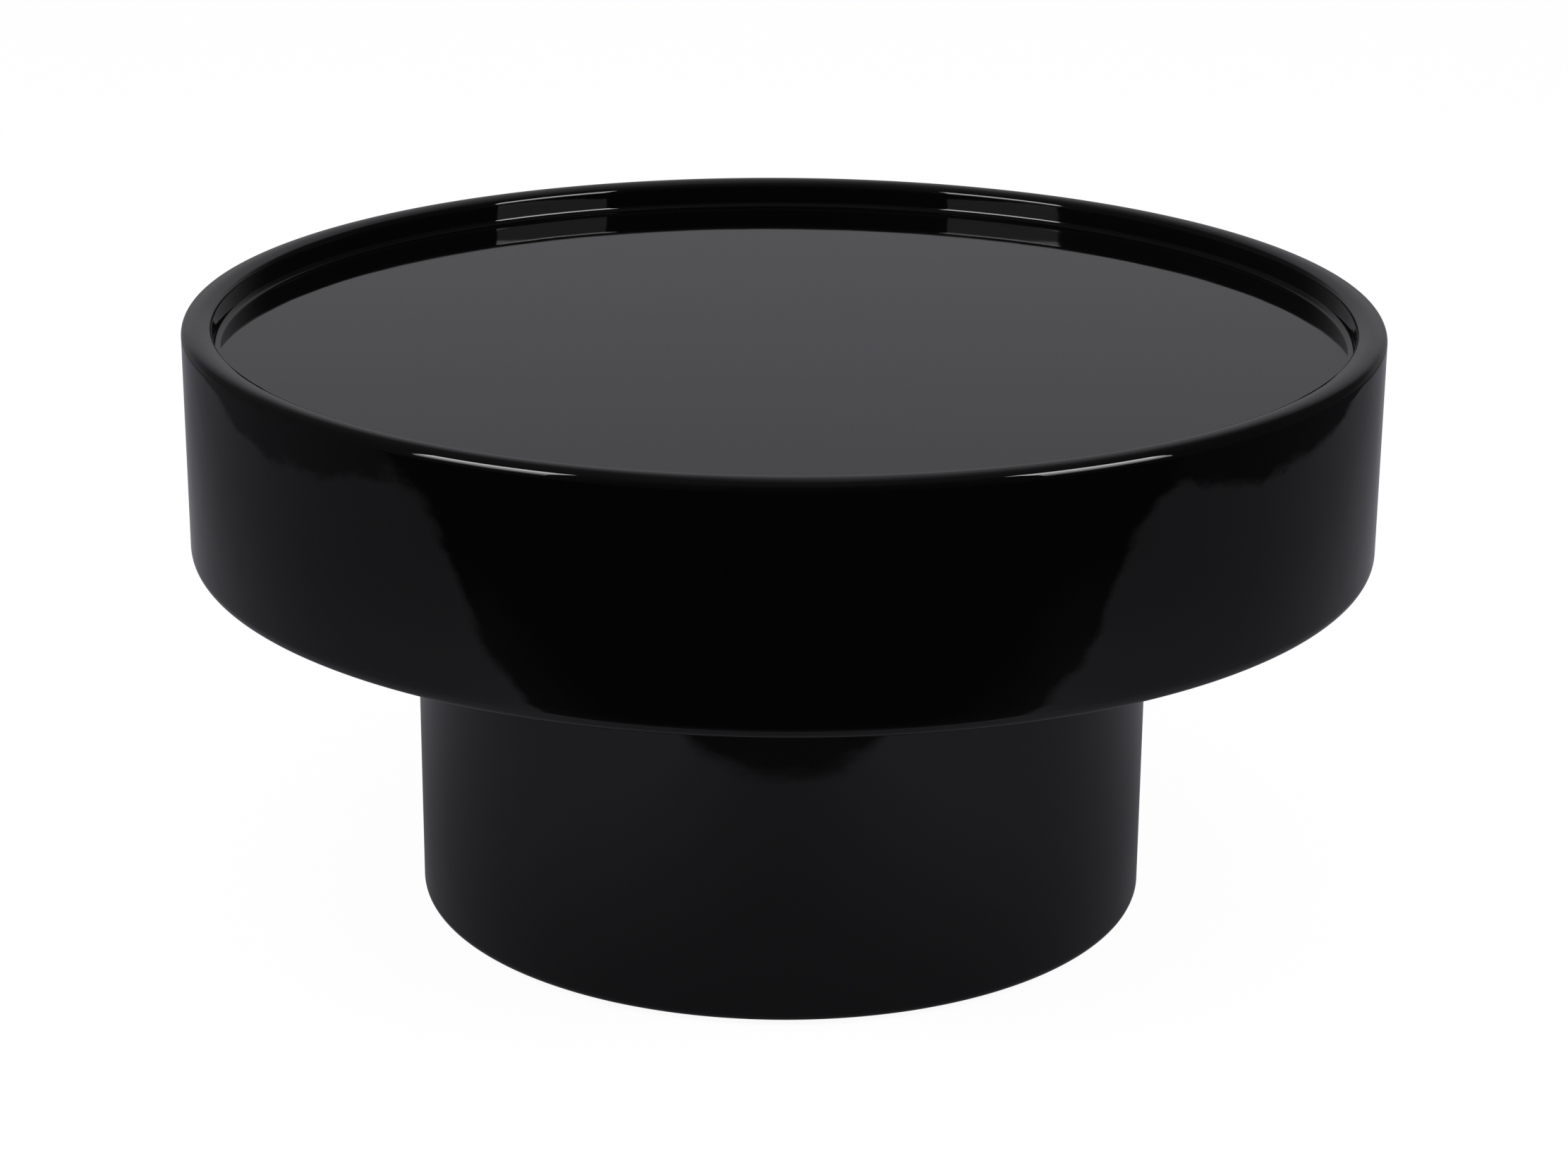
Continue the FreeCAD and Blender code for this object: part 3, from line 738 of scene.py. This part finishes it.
def softboxes():
    """A tall softbox in front on each side that leans towards the table, in strips brighter to the top."""
    for place, bearing in zip(SOFTBOX_PLACES, SOFTBOX_BEARINGS):
        turn = Matrix.Rotation(bearing, 3, "Z") @ Matrix.Rotation(math.pi / 2 - SOFTBOX_LEAN, 3, "X")
        for bottom, top, radiance in SOFTBOX_STRIPS:
            lamp = bpy.data.lights.new("softbox", "AREA")
            lamp.shape = "RECTANGLE"
            lamp.size = SOFTBOX_WIDTH
            lamp.size_y = top - bottom
            lamp.energy = radiance * math.pi * SOFTBOX_WIDTH * (top - bottom)
            lit = bpy.data.objects.new("softbox", lamp)
            lit.location = place + turn @ Vector((0, (bottom + top) / 2, 0))
            lit.rotation_euler = turn.to_euler()
            bpy.context.scene.collection.objects.link(lit)


def fitted_camera():
    """Camera at the fitted place, turned by yaw, pitch and roll, with the fitted focal length."""
    lens = bpy.data.cameras.new("camera")
    lens.sensor_width = CAMERA_SENSOR_MM
    lens.lens = CAMERA_FOCUS_PIXELS / IMAGE_WIDTH * lens.sensor_width
    lens.clip_end = CAMERA_CLIP
    camera = bpy.data.objects.new("camera", lens)
    bpy.context.scene.collection.objects.link(camera)
    forward = Vector((
        math.sin(CAMERA_YAW) * math.cos(CAMERA_PITCH),
        math.cos(CAMERA_YAW) * math.cos(CAMERA_PITCH),
        -math.sin(CAMERA_PITCH),
    ))
    level = Vector((math.cos(CAMERA_YAW), -math.sin(CAMERA_YAW), 0))
    upright = level.cross(forward)
    right = math.cos(CAMERA_ROLL) * level + math.sin(CAMERA_ROLL) * upright
    up = math.cos(CAMERA_ROLL) * upright - math.sin(CAMERA_ROLL) * level
    turn = Matrix((right, up, -forward)).transposed()
    camera.matrix_world = Matrix.Translation(CAMERA_PLACE) @ turn.to_4x4()
    bpy.context.scene.camera = camera


def build():
    """Makes the shared effects, the finishes, the lacquered pieces, the studio and the camera."""
    film = make_film_group()
    grain = make_grain_group()
    speckle = make_speckle_group()
    backdrop = make_backdrop_group()
    hoop_lacquer = black_lacquer("hoop_lacquer", film, HOOP_FILM_WAVE)
    tray_lacquer = black_lacquer("tray_lacquer", film, TRAY_FILM_WAVE)
    paint = satin_paint(film)
    flat_ply = plywood("birch_ply_flat", grain, "Z")
    across_ply = plywood("birch_ply_across", grain, "Y")
    yellow = plated_steel("yellow_zinc", speckle, YELLOW_ZINC_TONES)
    bright = plated_steel("bright_zinc", speckle, BRIGHT_ZINC_TONES)
    dress_nodes({
        "underside_panel": paint,
        "base_foot_ring": paint,
        "tray_ledge": flat_ply,
        "mounting_plate": flat_ply,
        "base_top_panel": flat_ply,
        "rib_front": across_ply,
        "rib_back": across_ply,
        "rib_": plywood("birch_ply_along", grain, "X"),
        "base_post": planed_poplar(grain),
        "underside_screws": yellow,
        "post_": yellow,
        "base_bolts": bright,
        "base_washers": bright,
        "mounting_tee_nuts": bright,
        "glide_tee_nuts": bright,
        "glide_stem": bright,
        "glide_pad": moulded_nylon(speckle),
    })
    drum_skin(hoop_lacquer)
    tray_skin(tray_lacquer)
    base_skin(hoop_lacquer)
    studio_floor(backdrop)
    studio_world(backdrop)
    softboxes()
    fitted_camera()
    bpy.context.scene.view_settings.view_transform = "Standard"


build()
